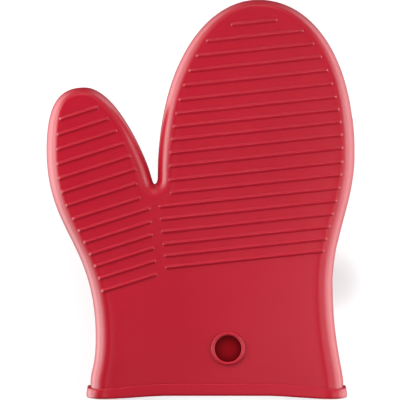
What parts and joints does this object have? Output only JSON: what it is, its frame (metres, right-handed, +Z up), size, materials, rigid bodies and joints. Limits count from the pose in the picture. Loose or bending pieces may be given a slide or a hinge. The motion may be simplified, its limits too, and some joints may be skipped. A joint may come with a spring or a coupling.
{
  "type": "oven mitt",
  "caption": "Moulded silicone oven mitt with thumb, ribbed grip faces, thick cuff band and a rimmed hanging hole; fingers and thumb fold towards the palm.",
  "frame": {"origin": "centre of the mitt's box, on the surface that its back lies on", "axes": "+X across the mitt away from the thumb, +Y from the cuff towards the fingertips, +Z up out of the palm face"},
  "size_m": [0.208, 0.27, 0.0392],
  "materials": {
    "silicone": "satin, moulded red silicone"
  },
  "bodies": {
    "hand": {"palm_shell": "silicone", "back_shell": "silicone", "cuff_band_front": "silicone", "cuff_band_back": "silicone", "hanging_ring": "silicone", "hand_front_ribs": "silicone", "hand_back_ribs": "silicone", "thumb_base_front_ribs": "silicone", "thumb_base_back_ribs": "silicone"},
    "fingers": {"finger_front_shell": "silicone", "finger_back_shell": "silicone", "finger_front_ribs": "silicone", "finger_back_ribs": "silicone"},
    "thumb": {"thumb_front_shell": "silicone", "thumb_back_shell": "silicone", "thumb_front_ribs": "silicone", "thumb_back_ribs": "silicone"}
  },
  "joints": [
    {"name": "finger_fold", "type": "hinge", "parent": "hand", "child": "fingers", "pos_m": [0.0111, 0.0217, 0.0376], "axis": [0.9943, 0.1063, 0], "range_deg": [0, 60], "stiffness_Nm_per_rad": 0.2},
    {"name": "thumb_fold", "type": "hinge", "parent": "hand", "child": "thumb", "pos_m": [-0.0311, 0.0102, 0.0376], "axis": [0.9532, 0.3024, 0], "range_deg": [0, 45], "stiffness_Nm_per_rad": 0.1}
  ]
}
